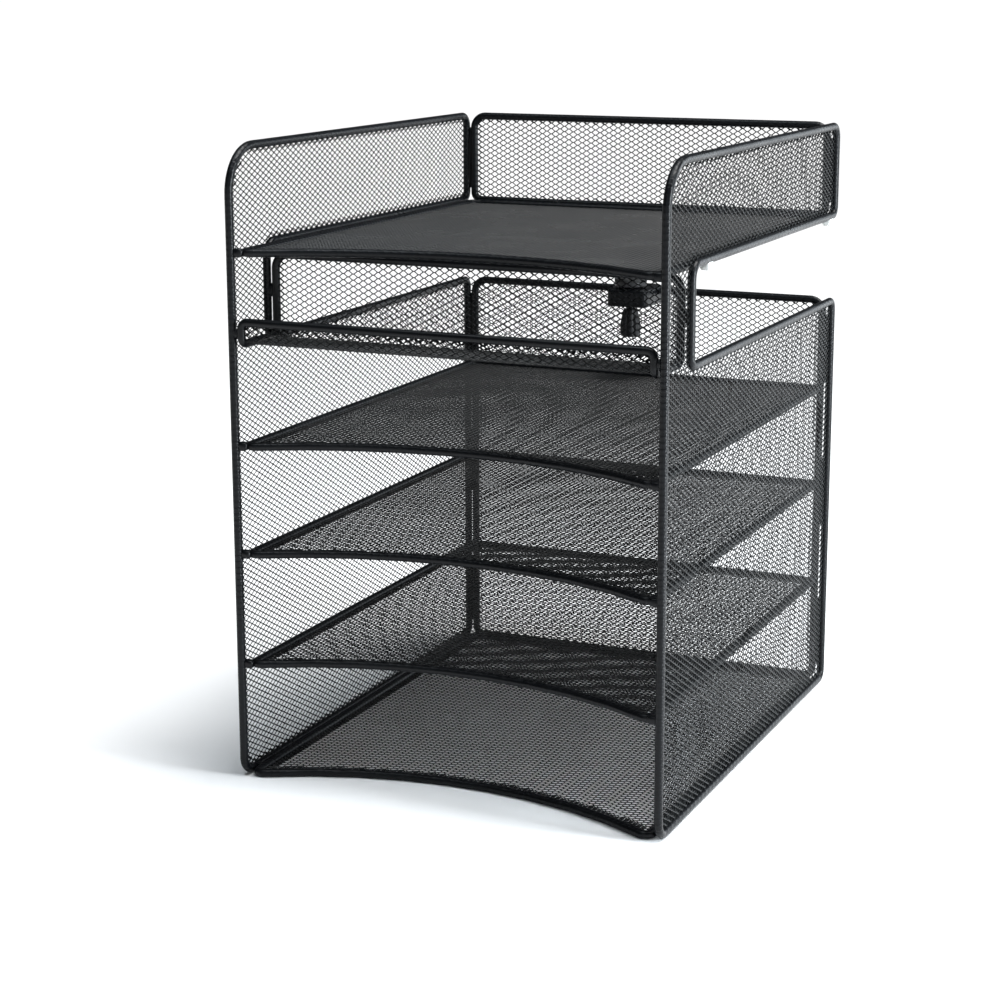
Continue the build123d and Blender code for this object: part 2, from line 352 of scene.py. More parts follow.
class Wardrobe:
    """Every finish of the organizer, made into a material once.

    Edges that turn by less than smooth_under shade smooth.
    """

    smooth_under: float = math.radians(35.0)

    def __init__(self) -> None:
        """Defines the finishes."""
        quarter = math.pi / 2
        satin = {
            "colour": (0.0018, 0.0021, 0.0027),
            "worn": (0.0036, 0.0043, 0.0055),
            "roughness": (0.26, 0.35),
            "specular": 0.17,
            "dust": 0.02,
        }
        finishes = [
            Finish("rim_coat_floor", Slot.RIM, print_turn=(0, 0, 0), **satin),
            Finish("rim_coat_back", Slot.RIM, print_turn=(quarter, 0, 0), **satin),
            Finish("rim_coat_side", Slot.RIM, print_turn=(quarter, 0, quarter), **satin),
            Finish("rim_coat_plain", Slot.RIM, **satin),
            Finish(
                "mesh_coat",
                Slot.MESH,
                colour=(0.0014, 0.0017, 0.0018),
                worn=(0.003, 0.0037, 0.004),
                roughness=(0.24, 0.34),
                specular=0.2,
                peel_depth=0.03 * MM,
                dust=0.02,
            ),
            Finish(
                "black_oxide",
                Slot.OXIDE,
                colour=(0.006, 0.006, 0.007),
                worn=(0.016, 0.016, 0.018),
                roughness=(0.22, 0.4),
                specular=0.35,
                peel_scale=2400.0,
                peel_depth=0.012 * MM,
                dust=0.05,
            ),
            Finish(
                "knob_plastic",
                Slot.KNOB,
                colour=(0.004, 0.004, 0.0045),
                worn=(0.008, 0.008, 0.009),
                roughness=(0.38, 0.52),
                specular=0.25,
                peel_scale=1500.0,
                peel_depth=0.03 * MM,
                dust=0.05,
            ),
            Finish(
                "rubber",
                Slot.RUBBER,
                colour=(0.014, 0.014, 0.014),
                worn=(0.026, 0.026, 0.026),
                roughness=(0.7, 0.88),
                specular=0.3,
                peel_scale=1200.0,
                peel_depth=0.04 * MM,
                dust=0.3,
            ),
            Finish(
                "clear_silicone",
                Slot.SILICONE,
                colour=(0.50, 0.51, 0.50),
                worn=(0.66, 0.67, 0.65),
                roughness=(0.35, 0.5),
                peel_scale=700.0,
                peel_depth=0.02 * MM,
                dust=0.2,
            ),
        ]
        self.materials = {finish.name: finish.material() for finish in finishes}
        self.slots = {finish.name: finish.slot for finish in finishes}

    def dress(
        self, name: str, bm: bmesh.types.BMesh, finish: str, body: Body, node: str
    ) -> None:
        """Makes a finished piece from a bmesh, puts it on its body and hides the frame's node that
        it stands for.

        Args:
            name: The piece's name.
            bm: The piece's mesh, which is freed.
            finish: The name of its finish.
            body: The body that it rides on.
            node: The frame's node that it replaces.
        """
        mesh = bpy.data.meshes.new(name)
        for face in bm.faces:
            face.smooth = True
        for edge in bm.edges:
            paired = len(edge.link_faces) == 2
            edge.smooth = paired and edge.calc_face_angle(0.0) < self.smooth_under
        bm.to_mesh(mesh)
        triangles = sum(len(face.verts) - 2 for face in bm.faces)
        bm.free()
        mesh.materials.append(self.materials[finish])
        piece = bpy.data.objects.new(name, mesh)
        bpy.context.scene.collection.objects.link(piece)
        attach(piece, body.value)
        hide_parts(node)
        log.info("%s: %d triangles on %s", name, triangles, body.value)


# ---------------------------------------------------------------------------------------------
# Rims
# ---------------------------------------------------------------------------------------------


@dataclass(frozen=True)
class Leg:
    """One straight run or one bend of a rim's centre line.

    Attributes:
        start: Where it starts.
        end: Where it ends.
        centre: The bend's centre, or None on a straight run.
        axis: The bend's axis.
        angle: How far it bends, in radians.
    """

    start: Vector
    end: Vector
    centre: Vector | None = None
    axis: Vector | None = None
    angle: float = 0.0

    @property
    def length(self) -> float:
        """The length along the centre line."""
        if self.centre is None:
            return (self.end - self.start).length
        return (self.start - self.centre).length * self.angle

    def at(self, share: float) -> Vector:
        """The point at a share of the leg's length."""
        if self.centre is None:
            return self.start.lerp(self.end, share)
        turn = Matrix.Rotation(self.angle * share, 3, self.axis)
        return self.centre + turn @ (self.start - self.centre)

    def tangent(self, share: float) -> Vector:
        """The direction at a share of the leg's length."""
        if self.centre is None:
            return (self.end - self.start).normalized()
        return self.axis.cross(self.at(share) - self.centre).normalized()


class RimPath:
    """The centre line of a rim: straight runs joined by tangent bends."""

    def __init__(self, legs: Sequence[Leg]) -> None:
        """Keeps the runs and bends in order."""
        self.legs = list(legs)

    @property
    def length(self) -> float:
        """The length of the whole centre line."""
        return sum(leg.length for leg in self.legs)

    @classmethod
    def from_corners(
        cls, corners: Sequence[tuple[Vector, float]], closed: bool = True
    ) -> "RimPath":
        """Rounds each corner of a polygon with its own radius.

        Args:
            corners: The corner points, each with its bend radius.
            closed: Whether the path closes. An open path keeps its two ends sharp.

        Returns:
            The rounded path.
        """
        count = len(corners)
        bends = []
        for i, (point, radius) in enumerate(corners):
            if not closed and i in (0, count - 1):
                bends.append(Leg(point, point))
                continue
            before, after = corners[i - 1][0], corners[(i + 1) % count][0]
            heading, leaving = (point - before).normalized(), (after - point).normalized()
            turn = heading.angle(leaving)
            reach = radius * math.tan(turn / 2)
            axis = heading.cross(leaving).normalized()
            start, end = point - heading * reach, point + leaving * reach
            bends.append(Leg(start, end, start + axis.cross(heading) * radius, axis, turn))
        legs = []
        for i, bend in enumerate(bends):
            if bend.centre is not None:
                legs.append(bend)
            if closed or i < count - 1:
                legs.append(Leg(bend.end, bends[(i + 1) % count].start))
        return cls(legs)

    @classmethod
    def curved_front(
        cls,
        span: float,
        front: float,
        back: float,
        z: float,
        curve: float,
        front_r: float,
        back_r: float,
    ) -> "RimPath":
        """The rim of a floor whose front curves in.

        Args:
            span: Half the floor's width.
            front: Where its front corners would meet, along Y.
            back: Its back, along Y.
            z: Its height.
            curve: How far the middle of the front curves in.
            front_r: The radius of its front corners.
            back_r: The radius of its back corners.

        Returns:
            The path, clockwise seen from above.
        """
        arc_r = (span**2 + curve**2) / (2 * curve)
        hub = Vector((0, front + curve - arc_r, z))
        rise = math.sqrt((arc_r + front_r) ** 2 - (span - front_r) ** 2)
        left_hub = hub + Vector((-(span - front_r), rise, 0))
        right_hub = hub + Vector((span - front_r, rise, 0))
        left = hub + (left_hub - hub) * arc_r / (arc_r + front_r)
        right = hub + (right_hub - hub) * arc_r / (arc_r + front_r)
        arc = Leg(right, left, hub, Z_AXIS, (right - hub).angle(left - hub))
        left_side, right_side = Vector((-span, left_hub.y, z)), Vector((span, left_hub.y, z))
        turn = (left - left_hub).angle(left_side - left_hub)
        left_bend = Leg(left, left_side, left_hub, -Z_AXIS, turn)
        turn = (right - right_hub).angle(right_side - right_hub)
        right_bend = Leg(right_side, right, right_hub, -Z_AXIS, turn)
        corners = [
            (left_side, 0.0),
            (Vector((-span, back, z)), back_r),
            (Vector((span, back, z)), back_r),
            (right_side, 0.0),
        ]
        sides = cls.from_corners(corners, closed=False).legs
        return cls([arc, left_bend, *sides, right_bend])

    def outline(self, to_plane: Matrix, step: float = math.radians(4)) -> np.ndarray:
        """The path as a polygon in a panel's own plane.

        Args:
            to_plane: The matrix from the frame to the panel's plane.
            step: The turn between two points of a bend.

        Returns:
            The polygon's corners, one row each.
        """
        points = []
        for leg in self.legs:
            count = max(1, math.ceil(leg.angle / step))
            points += [to_plane @ leg.at(i / count) for i in range(count)]
        return np.array([(point.x, point.y) for point in points])


class BentRim:
    """A round wire bent along a path.

    Attributes:
        sides: How many flat sides its section has.
        turn_step: The angle between two rings of a bend.
        run_step: About how far apart the rings of a straight run are.
    """

    sides: int = 16
    turn_step: float = math.radians(7)
    run_step: float = 12 * MM

    def __init__(self, path: RimPath, radius: float) -> None:
        """Keeps the path and the wire's radius."""
        self.path = path
        self.radius = radius

    def build(self) -> bmesh.types.BMesh:
        """Spins the wire's section round every bend and along every run.

        Returns:
            The closed tube.
        """
        bm = bmesh.new()
        first = self.path.legs[0]
        turn = Z_AXIS.rotation_difference(first.tangent(0.0)).to_matrix().to_4x4()
        placed = Matrix.Translation(first.start) @ turn
        bmesh.ops.create_circle(bm, segments=self.sides, radius=self.radius, matrix=placed)
        ring: list = bm.edges[:]
        for leg in self.path.legs:
            if leg.length < self.radius / 100:
                continue
            steps = self._steps(leg)
            run = (leg.end - leg.start) / steps if leg.centre is None else Vector()
            spun = bmesh.ops.spin(
                bm,
                geom=ring,
                cent=leg.centre or leg.start,
                axis=leg.axis or Z_AXIS,
                dvec=run,
                angle=leg.angle,
                steps=steps,
            )
            ring = [item for item in spun["geom_last"] if isinstance(item, bmesh.types.BMEdge)]
        bmesh.ops.remove_doubles(bm, verts=bm.verts, dist=self.radius / 50)
        bmesh.ops.recalc_face_normals(bm, faces=bm.faces)
        return bm

    def _steps(self, leg: Leg) -> int:
        """How many pieces a leg is spun in."""
        if leg.centre is None:
            return max(1, round(leg.length / self.run_step))
        return max(2, math.ceil(leg.angle / self.turn_step))


# ---------------------------------------------------------------------------------------------
# Expanded mesh
# ---------------------------------------------------------------------------------------------


@dataclass(frozen=True)
class Strand:
    """The sizes of the expanded mesh.

    Attributes:
        long: The long diagonal of an opening, from knot to knot.
        short: The short diagonal.
        bond: The length of the knot where two strands join, or 0 for a plain diamond.
        width: The width of a strand.
        height: How far a strand stands through the sheet.
        waviness: How far the sheet waves out of its plane.
        wave_scale: How close the waves lie, in noise cells to the metre.
        calm_edge: How wide the strip inside the rim is over which the waves die away.
    """

    long: float = 6.3 * MM
    short: float = 3.48 * MM
    bond: float = 0.9 * MM
    width: float = 0.66 * MM
    height: float = 0.6 * MM
    waviness: float = 0.22 * MM
    wave_scale: float = 22.0
    calm_edge: float = 25 * MM


@dataclass(frozen=True)
class Hem:
    """A second layer of mesh that comes back round the rim and lies on the panel.

    Attributes:
        reach: How far it comes in from the rim's centre line.
        lift: How far it stands off the panel, along the panel's normal.
        only: Says whether a hem lies at a place on the panel's plane.
        slip: How far it is out of line with the panel's openings, in strand widths.
    """

    reach: float
    lift: float
    only: Callable[[float, float], bool] = lambda u, v: True
    slip: tuple[float, float] = (0.8, 0.5)


def depth_inside(points: np.ndarray, polygon: np.ndarray) -> tuple[np.ndarray, np.ndarray]:
    """Measures how deep points lie inside a polygon.

    Args:
        points: The points, one row each.
        polygon: The polygon's corners, one row each.

    Returns:
        The distance of each point to the outline, negative outside, and its nearest outline point.
    """
    start, end = polygon, np.roll(polygon, -1, axis=0)
    best = np.full(len(points), np.inf)
    nearest = np.zeros_like(points)
    inside = np.zeros(len(points), bool)
    for a, b in zip(start, end):
        edge = b - a
        share = np.clip(((points - a) @ edge) / (edge @ edge), 0, 1)
        foot = a + share[:, None] * edge
        away = np.linalg.norm(points - foot, axis=1)
        closer = away < best
        best[closer], nearest[closer] = away[closer], foot[closer]
        spans = (a[1] > points[:, 1]) != (b[1] > points[:, 1])
        with np.errstate(divide="ignore", invalid="ignore"):
            crossing = a[0] + (points[:, 1] - a[1]) / (b[1] - a[1]) * edge[0]
        inside ^= spans & (points[:, 0] < crossing)
    return np.where(inside, best, -best), nearest


def face_middles(bm: bmesh.types.BMesh) -> np.ndarray:
    """The middle of each face on the plane, one row each."""
    return np.array([face.calc_center_median().to_2d()[:] for face in bm.faces])


def vert_places(bm: bmesh.types.BMesh) -> np.ndarray:
    """The place of each vertex on the plane, one row each."""
    return np.array([vert.co.to_2d()[:] for vert in bm.verts])


@dataclass
class MeshSheet:
    """One flat panel of expanded mesh, cut to its rim.

    Attributes:
        polygon: The rim's centre line in the panel's plane.
        strand: The mesh's sizes.
        rim_radius: The radius of the wire that hides the cut edge.
        hems: The turned-back edges.
    """

    polygon: np.ndarray
    strand: Strand
    rim_radius: float
    hems: Sequence[Hem]

    def build(self, wave_seed: float) -> bmesh.types.BMesh:
        """Lays the field of openings, cuts it, hems it and gives its strands their thickness.

        Args:
            wave_seed: Where in the noise the sheet's waves are taken.

        Returns:
            The sheet in its own plane, with its thickness along Z.
        """
        bm = self._field()
        self._cut(bm)
        for hem in self.hems:
            self._turn_back(bm, hem)
        bm.normal_update()
        bmesh.ops.wireframe(
            bm,
            faces=bm.faces[:],
            thickness=self.strand.width,
            use_replace=True,
            use_boundary=True,
            use_even_offset=True,
        )
        rise = self.strand.height / self.strand.width
        bmesh.ops.scale(bm, vec=(1, 1, rise), verts=bm.verts)
        self._wave(bm, wave_seed)
        bmesh.ops.recalc_face_normals(bm, faces=bm.faces)
        return bm

    def _opening(self, bm: bmesh.types.BMesh) -> None:
        """Adds one opening, centred on the origin."""
        strand = self.strand
        segments = 6 if strand.bond else 4
        bmesh.ops.create_circle(bm, cap_ends=True, segments=segments, radius=1.0)
        angle = bm.verts[:][0].co.to_2d().angle_signed(Vector((1, 0)))
        bmesh.ops.rotate(bm, verts=bm.verts, matrix=Matrix.Rotation(angle, 3, "Z"))
        for vert in bm.verts:
            knot = abs(vert.co.y) < 0.1
            reach = (strand.long - strand.bond) / 2 if knot else strand.bond / 2
            vert.co.x = math.copysign(reach, vert.co.x) if knot or strand.bond else 0.0
            vert.co.y = 0.0 if knot else math.copysign(strand.short / 2, vert.co.y)

    def _field(self) -> bmesh.types.BMesh:
        """Repeats the opening over the panel's box."""
        strand = self.strand
        low, high = self.polygon.min(axis=0), self.polygon.max(axis=0)
        size, middle = high - low, (high + low) / 2
        columns = math.ceil(size[0] / strand.long / 2) + 1
        rows = math.ceil(size[1] / strand.short / 2) + 1
        bm = bmesh.new()
        self._opening(bm)
        self._repeat(bm, Vector((strand.long / 2, strand.short / 2, 0)), 1)
        self._repeat(bm, Vector((strand.long, 0, 0)), 2 * columns)
        self._repeat(bm, Vector((0, strand.short, 0)), 2 * rows)
        corner = Vector((-columns * strand.long, -rows * strand.short, 0))
        bmesh.ops.translate(bm, verts=bm.verts, vec=corner)
        bmesh.ops.translate(bm, verts=bm.verts, vec=Vector((*middle, 0)))
        return bm

    def _repeat(self, bm: bmesh.types.BMesh, step: Vector, times: int) -> None:
        """Copies everything along a step a number of times and joins what meets."""
        geometry = bm.verts[:] + bm.edges[:] + bm.faces[:]
        bmesh.ops.spin(
            bm,
            geom=geometry,
            cent=Vector(),
            axis=Z_AXIS,
            dvec=step,
            angle=0.0,
            steps=times,
            use_duplicate=True,
        )
        bmesh.ops.remove_doubles(bm, verts=bm.verts, dist=self.strand.width / 10)

    def _cut(self, bm: bmesh.types.BMesh) -> None:
        """Drops the openings outside the rim and pulls the cut strands back under it."""
        depth, _ = depth_inside(face_middles(bm), self.polygon)
        margin = -self.strand.width / 2
        outside = [face for face, deep in zip(bm.faces, depth) if deep < margin]
        bmesh.ops.delete(bm, geom=outside, context="FACES")
        verts = bm.verts[:]
        depth, nearest = depth_inside(vert_places(bm), self.polygon)
        for vert, deep, foot in zip(verts, depth, nearest):
            if deep < 0:
                vert.co.xy = foot
        bmesh.ops.dissolve_degenerate(bm, edges=bm.edges[:], dist=self.strand.width / 4)

    def _wave(self, bm: bmesh.types.BMesh, seed: float) -> None:
        """Lets the sheet wave a little out of its plane, less towards the rim."""
        strand = self.strand
        depth, _ = depth_inside(vert_places(bm), self.polygon)
        for vert, deep in zip(bm.verts, depth):
            ease = min(1.0, max(0.0, deep / strand.calm_edge))
            place = Vector((vert.co.x, vert.co.y, 0)) * strand.wave_scale + Vector((0, 0, seed))
            vert.co.z += strand.waviness * ease * noise.noise(place)

    def _turn_back(self, bm: bmesh.types.BMesh, hem: Hem) -> None:
        """Lays the turned-back edge over the openings next to the rim."""
        centres = face_middles(bm)
        depth, _ = depth_inside(centres, self.polygon)
        strip = [
            face
            for face, deep, centre in zip(bm.faces, depth, centres)
            if self.rim_radius / 3 < deep < hem.reach and hem.only(*centre)
        ]
        if not strip:
            return
        copied = bmesh.ops.duplicate(bm, geom=strip)["geom"]
        moved = [item for item in copied if isinstance(item, bmesh.types.BMVert)]
        width = self.strand.width
        across, along = hem.slip
        sunk = hem.lift * width / self.strand.height
        shift = Vector((width * across, width * along, sunk))
        bmesh.ops.translate(bm, verts=moved, vec=shift)


@dataclass
class Panel:
    """A rim with its mesh, in one plane.

    Attributes:
        name: What the panel is called.
        path: The rim's centre line.
        plane: The matrix from the panel's plane to the frame.
        rim_radius: The radius of the rim wire.
        finish: The rim's finish.
        strand: The mesh's sizes.
        hems: The turned-back edges of the mesh.
        wave_spacing: How far apart in the noise two panels' waves are, for each metre between them.
    """

    name: str
    path: RimPath
    plane: Matrix
    rim_radius: float
    finish: str
    strand: Strand = field(default_factory=Strand)
    hems: Sequence[Hem] = ()
    wave_spacing: float = 90.0

    def dress(self, wardrobe: Wardrobe, rim_node: str, mesh_node: str) -> None:
        """Builds and dresses the rim and the mesh.

        Args:
            wardrobe: The finishes.
            rim_node: The frame's node that the rim replaces.
            mesh_node: The frame's node that the mesh replaces.
        """
        rim = BentRim(self.path, self.rim_radius).build()
        wardrobe.dress(f"{self.name}_rim", rim, self.finish, Body.ORGANIZER, rim_node)
        polygon = self.path.outline(self.plane.inverted())
        sheet = MeshSheet(polygon, self.strand, self.rim_radius, self.hems)
        mesh = sheet.build(wave_seed=self.plane.translation.length * self.wave_spacing)
        bmesh.ops.transform(mesh, matrix=self.plane, verts=mesh.verts)
        name = f"{self.name}_expanded_mesh"
        wardrobe.dress(name, mesh, "mesh_coat", Body.ORGANIZER, mesh_node)


# ---------------------------------------------------------------------------------------------
# Sub-assemblies
# ---------------------------------------------------------------------------------------------


@dataclass(frozen=True)
class Places:
    """Where the organizer's rims run, read from the frame's boxes.

    Attributes:
        wire_r: The radius of the rim wire.
        side_x: The sides, from the middle.
        span_x: The panels between the sides, from the middle.
        front_y: The front bars.
        back_y: The back bars.
        slot_y: The front end of the desk slot.
        floor_back_y: The back rims of the floors.
        cabinet_z: The rim of the cabinet.
        rail_z: The side rails of the tray.
        top_z: The top rims.
        ledge_z: The pen ledge.
        lip_z: The top of its lip.
        slot_panel_top_z: The top rim of the slot's front panel.
    """

    wire_r: float
    side_x: float
    span_x: float
    front_y: float
    back_y: float
    slot_y: float
    floor_back_y: float
    cabinet_z: float
    rail_z: float
    top_z: float
    ledge_z: float
    lip_z: float
    slot_panel_top_z: float

    @classmethod
    def read(cls, lip_height: float) -> "Places":
        """Reads the places.

        Args:
            lip_height: The height of the ledge's lip, which no box gives.

        Returns:
            The places.
        """
        side_low, side_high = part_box("side_frame_right")
        _, cabinet_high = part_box("cabinet_back_frame")
        tray_low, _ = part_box("tray_back_frame")
        _, floor_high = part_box("bottom_floor_frame")
        ledge_low, ledge_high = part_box("ledge_frame")
        wire_r = (side_high.x - side_low.x) / 2
        return cls(
            wire_r=wire_r,
            side_x=side_high.x - wire_r,
            span_x=cabinet_high.x - wire_r,
            front_y=side_low.y + wire_r,
            back_y=side_high.y - wire_r,
            slot_y=ledge_high.y - wire_r,
            floor_back_y=floor_high.y - wire_r,
            cabinet_z=cabinet_high.z - wire_r,
            rail_z=tray_low.z + wire_r,
            top_z=side_high.z - wire_r,
            ledge_z=ledge_low.z + wire_r,
            lip_z=ledge_low.z + wire_r + lip_height,
            slot_panel_top_z=ledge_high.z - wire_r,
        )


@dataclass
class Sides:
    """The two C-shaped sides, with the desk slot cut in from the back.

    The fields are the bend radii of the rim, corner by corner.
    """

    front_foot_r: float = 9.0 * MM
    front_top_r: float = 26.0 * MM
    back_top_r: float = 7.5 * MM
    rail_end_r: float = 6.0 * MM
    slot_top_r: float = 8.5 * MM
    slot_bottom_r: float = 4.5 * MM
    cabinet_end_r: float = 5.0 * MM
    back_foot_r: float = 6.0 * MM
    strand: Strand = Strand(bond=0.0, width=0.76 * MM)
    hem_reach: float = 3.4 * MM
    hem_lift: float = 0.55 * MM

    def dress(self, wardrobe: Wardrobe, places: Places) -> None:
        """Builds and dresses both sides."""
        for side, sign in (("left", -1), ("right", 1)):
            x = sign * places.side_x
            upright = Matrix(((0, 0, 1), (1, 0, 0), (0, 1, 0))).to_4x4()
            plane = Matrix.Translation((x, 0, 0)) @ upright
            panel = Panel(
                f"side_{side}",
                self._path(places, x),
                plane,
                places.wire_r,
                "rim_coat_side",
                strand=self.strand,
                hems=[Hem(self.hem_reach, -sign * self.hem_lift)],
            )
            panel.dress(wardrobe, f"side_frame_{side}", f"side_mesh_{side}")

    def _path(self, places: Places, x: float) -> RimPath:
        """The rim's centre line at a side."""
        p = places
        foot = p.wire_r
        corners = [
            ((p.front_y, foot), self.front_foot_r),
            ((p.front_y, p.top_z), self.front_top_r),
            ((p.back_y, p.top_z), self.back_top_r),
            ((p.back_y, p.rail_z), self.rail_end_r),
            ((p.slot_y, p.rail_z), self.slot_top_r),
            ((p.slot_y, p.cabinet_z), self.slot_bottom_r),
            ((p.back_y, p.cabinet_z), self.cabinet_end_r),
            ((p.back_y, foot), self.back_foot_r),
        ]
        return RimPath.from_corners([(Vector((x, y, z)), radius) for (y, z), radius in corners])


@dataclass
class Backs:
    """The back panels of the tray and of the cabinet."""

    top_r: float = 8.0 * MM
    foot_r: float = 5.0 * MM
    hem_reach: float = 3.3 * MM
    hem_lift: float = 0.55 * MM

    def dress(self, wardrobe: Wardrobe, places: Places) -> None:
        """Builds and dresses both back panels."""
        levels = (
            ("tray_back", places.rail_z, places.top_z),
            ("cabinet_back", places.wire_r, places.cabinet_z),
        )
        plane = Matrix.Translation((0, places.back_y, 0)) @ Matrix.Rotation(math.pi / 2, 4, "X")
        for name, low, high in levels:
            x, y = places.span_x, places.back_y
            corners = [
                (Vector((-x, y, low)), self.foot_r),
                (Vector((-x, y, high)), self.top_r),
                (Vector((x, y, high)), self.top_r),
                (Vector((x, y, low)), self.foot_r),
            ]
            panel = Panel(
                name,
                RimPath.from_corners(corners),
                plane,
                places.wire_r,
                "rim_coat_back",
                hems=[Hem(self.hem_reach, self.hem_lift)],
            )
            panel.dress(wardrobe, f"{name}_frame", f"{name}_mesh")


@dataclass
class Floors:
    """The tray floor, the three shelves and the bottom floor, all with a curved-in front."""

    curve: float = 34.0 * MM
    front_r: float = 4.0 * MM
    back_r: float = 8.0 * MM
    hem_reach: float = 6.4 * MM
    side_hem_reach: float = 3.3 * MM
    hem_lift: float = 0.6 * MM

    def dress(self, wardrobe: Wardrobe, places: Places) -> None:
        """Builds and dresses every floor."""
        for name in ("tray_floor", "shelf_1", "shelf_2", "shelf_3", "bottom_floor"):
            low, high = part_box(f"{name}_frame")
            z = (low.z + high.z) / 2
            path = RimPath.curved_front(
                places.span_x,
                places.front_y,
                places.floor_back_y,
                z,
                self.curve,
                self.front_r,
                self.back_r,
            )
            front_strip = places.front_y + self.curve + self.hem_reach

            def at_front(u: float, v: float, edge: float = front_strip) -> bool:
                """Says whether a place lies along the curved front."""
                return v < edge and abs(u) < places.span_x - self.hem_reach

            panel = Panel(
                name,
                path,
                Matrix.Translation((0, 0, z)),
                places.wire_r,
                "rim_coat_floor",
                hems=[
                    Hem(self.hem_reach, self.hem_lift, at_front),
                    Hem(self.side_hem_reach, -self.hem_lift),
                ],
            )
            panel.dress(wardrobe, f"{name}_frame", f"{name}_mesh")


@dataclass
class Ledge:
    """The bent sheet of the slot's front panel, the pen ledge and its lip, in its bent rim."""

    lip_height: float = 12.6 * MM
    lip_r: float = 4.0 * MM
    bend_r: float = 5.0 * MM
    top_r: float = 8.0 * MM
    strand: Strand = Strand(waviness=0.0)
    hem_reach: float = 3.3 * MM
    hem_lift: float = -0.55 * MM

    def dress(self, wardrobe: Wardrobe, places: Places) -> None:
        """Builds and dresses the rim and the bent sheet."""
        rim = BentRim(self._rim_path(places), places.wire_r).build()
        wardrobe.dress("ledge_rim", rim, "rim_coat_plain", Body.ORGANIZER, "ledge_frame")
        mesh = self._sheet(places)
        wardrobe.dress("ledge_expanded_mesh", mesh, "mesh_coat", Body.ORGANIZER, "ledge_mesh")

    def _rim_path(self, places: Places) -> RimPath:
        """The rim's centre line, up the slot panel, over the ledge and round the lip."""
        p = places
        x = p.span_x
        corners = [
            ((-x, p.front_y, p.lip_z), self.lip_r),
            ((x, p.front_y, p.lip_z), self.lip_r),
            ((x, p.front_y, p.ledge_z), self.bend_r),
            ((x, p.slot_y, p.ledge_z), self.bend_r),
            ((x, p.slot_y, p.slot_panel_top_z), self.top_r),
            ((-x, p.slot_y, p.slot_panel_top_z), self.top_r),
            ((-x, p.slot_y, p.ledge_z), self.bend_r),
            ((-x, p.front_y, p.ledge_z), self.bend_r),
        ]
        return RimPath.from_corners([(Vector(point), radius) for point, radius in corners])

    def _sheet(self, places: Places) -> bmesh.types.BMesh:
        """The mesh, laid flat, cut, and then rolled along the ledge's profile."""
        p = places
        profile = RimPath.from_corners(
            [
                (Vector((0, p.front_y, p.lip_z)), 0.0),
                (Vector((0, p.front_y, p.ledge_z)), self.bend_r),
                (Vector((0, p.slot_y, p.ledge_z)), self.bend_r),
                (Vector((0, p.slot_y, p.slot_panel_top_z)), 0.0),
            ],
            closed=False,
        )
        flat = RimPath.from_corners(
            [
                (Vector((-p.span_x, 0, 0)), self.lip_r),
                (Vector((p.span_x, 0, 0)), self.lip_r),
                (Vector((p.span_x, profile.length, 0)), self.top_r),
                (Vector((-p.span_x, profile.length, 0)), self.top_r),
            ]
        )
        polygon = flat.outline(Matrix.Identity(4))
        hem = Hem(self.hem_reach, self.hem_lift)
        sheet = MeshSheet(polygon, self.strand, p.wire_r, [hem])
        bm = sheet.build(wave_seed=0.0)
        for vert in bm.verts:
            vert.co = self._rolled(profile, vert.co)
        bmesh.ops.recalc_face_normals(bm, faces=bm.faces)
        return bm

    @staticmethod
    def _rolled(profile: RimPath, flat: Vector) -> Vector:
        """Carries a point of the flat sheet on to the bent one."""
        run = flat.y
        for leg in profile.legs:
            if run <= leg.length or leg is profile.legs[-1]:
                share = run / leg.length
                normal = leg.tangent(share).cross(X_AXIS)
                place = leg.at(share) + normal * flat.z
                return Vector((flat.x, place.y, place.z))
            run -= leg.length
        return flat


@dataclass
class WeldBeads:
    """The lumpy beads that join the rims, one at each of the frame's beads.

    Attributes:
        spread: How far a bead reaches past its place's box.
        fullness: How nearly a bead fills its box: 1 is a ball, and less is squarer.
        lump: How high its lumps are.
        lump_scale: How close they lie, in noise cells to the metre.
    """

    spread: float = 0.4 * MM
    fullness: float = 0.7
    lump: float = 0.3 * MM
    lump_scale: float = 420.0

    def dress(self, wardrobe: Wardrobe) -> None:
        """Builds and dresses all beads as one piece."""
        bm = bmesh.new()
        for middle, size in self._islands():
            made = bmesh.ops.create_icosphere(bm, subdivisions=3, radius=1.0)
            for vert in made["verts"]:
                full = [math.copysign(abs(c) ** self.fullness, c) for c in vert.co]
                place = middle + Vector(c * (s / 2 + self.spread) for c, s in zip(full, size))
                bump = vert.co.normalized() * noise.noise(place * self.lump_scale) * self.lump
                vert.co = place + bump
        bmesh.ops.recalc_face_normals(bm, faces=bm.faces)
        wardrobe.dress("weld_bead_set", bm, "rim_coat_plain", Body.ORGANIZER, "weld_beads")

    @staticmethod
    def _islands() -> list[tuple[Vector, Vector]]:
        """The middle and the size of each separate bead of the frame."""
        bm = bmesh.new()
        bm.from_mesh(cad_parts["weld_beads"].data)
        bmesh.ops.remove_doubles(bm, verts=bm.verts, dist=0.001 * MM)
        left = set(bm.verts)
        islands = []
        while left:
            grown, edge = set(), {left.pop()}
            while edge:
                grown |= edge
                edge = {e.other_vert(v) for v in edge for e in v.link_edges} - grown
            left -= grown
            low = Vector(min(v.co[i] for v in grown) for i in range(3))
            high = Vector(max(v.co[i] for v in grown) for i in range(3))
            islands.append(((low + high) / 2, high - low))
        bm.free()
        return sorted(islands, key=lambda island: tuple(round(c, 5) for c in island[0]))


